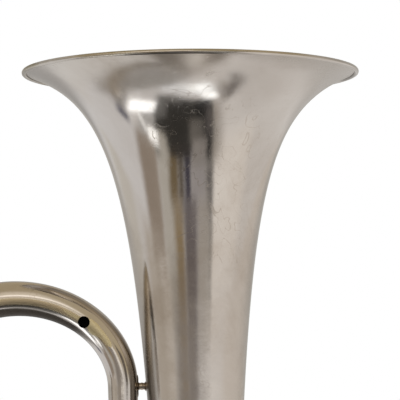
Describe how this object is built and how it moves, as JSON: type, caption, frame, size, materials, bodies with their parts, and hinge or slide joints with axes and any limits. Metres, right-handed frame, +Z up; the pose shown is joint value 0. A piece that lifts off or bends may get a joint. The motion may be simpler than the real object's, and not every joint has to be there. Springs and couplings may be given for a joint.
{
  "type": "upright three-valve horn",
  "caption": "Silver-plated upright brass horn with a flared bell, top-action piston valves, pull-out tuning slides and a removable mouthpiece.",
  "frame": {"origin": "lowest point of the guard under the bottom bow, midway between the bell and the outer branch", "axes": "+Z up along the bell's axis to its rim, +X from the outer branch to the bell, -Y towards the player"},
  "size_m": [0.4208, 0.3762, 0.71],
  "materials": {
    "silver_plate": "tarnished satin silver plate over brass",
    "worn_brass": "worn bare brass",
    "spring_steel": "drawn wire",
    "pearl": "polished shell",
    "felt": "pressed felt",
    "cork": "natural cork"
  },
  "bodies": {
    "horn": {"bell": "silver_plate", "bell_brace_lower": "silver_plate", "bell_brace_upper": "silver_plate", "bell_rim_wire": "silver_plate", "bell_tail_ferrule": "silver_plate", "bottom_bow": "silver_plate", "bottom_bow_guard": "silver_plate", "first_slide_sleeve_lower": "silver_plate", "first_slide_sleeve_upper": "silver_plate", "inner_branch": "silver_plate", "mouthpiece_receiver": "silver_plate", "mouthpipe": "silver_plate", "mouthpipe_bell_brace": "silver_plate", "mouthpipe_rear_brace": "silver_plate", "outer_branch": "silver_plate", "outer_branch_brace": "silver_plate", "outer_branch_ferrule": "silver_plate", "piston_spring_1": "spring_steel", "piston_spring_2": "spring_steel", "piston_spring_3": "spring_steel", "second_slide_sleeve_lower": "silver_plate", "second_slide_sleeve_upper": "silver_plate", "third_slide_sleeve_left": "silver_plate", "third_slide_sleeve_right": "silver_plate", "thumb_ring": "silver_plate", "top_bow": "silver_plate", "top_bow_inner_ferrule": "silver_plate", "top_bow_outer_ferrule": "silver_plate", "tuning_sleeve_front": "silver_plate", "tuning_sleeve_rear": "silver_plate", "tuning_slide_brace": "silver_plate", "valve_bottom_cap_1": "silver_plate", "valve_bottom_cap_2": "silver_plate", "valve_bottom_cap_3": "silver_plate", "valve_casing_1": "silver_plate", "valve_casing_2": "silver_plate", "valve_casing_3": "silver_plate", "valve_crossover_1_2": "silver_plate", "valve_crossover_2_3": "silver_plate", "valve_top_cap_1": "silver_plate", "valve_top_cap_2": "silver_plate", "valve_top_cap_3": "silver_plate"},
    "main_tuning_slide": {"main_tuning_slide": "worn_brass", "water_key_saddle": "worn_brass", "water_key_pin": "spring_steel"},
    "water_key": {"water_key_lever": "worn_brass", "water_key_cork": "cork"},
    "first_slide": {"first_slide": "worn_brass"},
    "second_slide": {"second_slide": "worn_brass"},
    "third_slide": {"third_slide": "worn_brass"},
    "mouthpiece": {"mouthpiece": "silver_plate"},
    "piston_1": {"piston_1": "worn_brass", "finger_button_1": "pearl", "valve_felt_1": "felt"},
    "piston_2": {"piston_2": "worn_brass", "finger_button_2": "pearl", "valve_felt_2": "felt"},
    "piston_3": {"piston_3": "worn_brass", "finger_button_3": "pearl", "valve_felt_3": "felt"}
  },
  "joints": [
    {"name": "piston_1_press", "type": "slide", "parent": "horn", "child": "piston_1", "axis": [0, 0, -1], "range_m": [0, 0.017], "stiffness_N_per_m": 180, "springref_m": -0.028, "deforming": ["piston_spring_1"]},
    {"name": "piston_2_press", "type": "slide", "parent": "horn", "child": "piston_2", "axis": [0, 0, -1], "range_m": [0, 0.017], "stiffness_N_per_m": 180, "springref_m": -0.028, "deforming": ["piston_spring_2"]},
    {"name": "piston_3_press", "type": "slide", "parent": "horn", "child": "piston_3", "axis": [0, 0, -1], "range_m": [0, 0.017], "stiffness_N_per_m": 180, "springref_m": -0.028, "deforming": ["piston_spring_3"]},
    {"name": "main_tuning_slide_pull", "type": "slide", "parent": "horn", "child": "main_tuning_slide", "axis": [0, 0, -1], "range_m": [0, 0.038]},
    {"name": "first_slide_pull", "type": "slide", "parent": "horn", "child": "first_slide", "axis": [-1, 0, 0], "range_m": [0, 0.035]},
    {"name": "second_slide_pull", "type": "slide", "parent": "horn", "child": "second_slide", "axis": [0, -1, 0], "range_m": [0, 0.014]},
    {"name": "third_slide_pull", "type": "slide", "parent": "horn", "child": "third_slide", "axis": [0, 0, -1], "range_m": [0, 0.055]},
    {"name": "mouthpiece_pull", "type": "slide", "parent": "horn", "child": "mouthpiece", "axis": [0, -1, 0], "range_m": [0, 0.06]},
    {"name": "water_key_open", "type": "hinge", "parent": "main_tuning_slide", "child": "water_key", "pos_m": [0.05792, -0.05668, 0.1415], "axis": [-1, 0, 0], "range_deg": [0, 12], "stiffness_Nm_per_rad": 0.05, "springref_deg": -34.38}
  ]
}
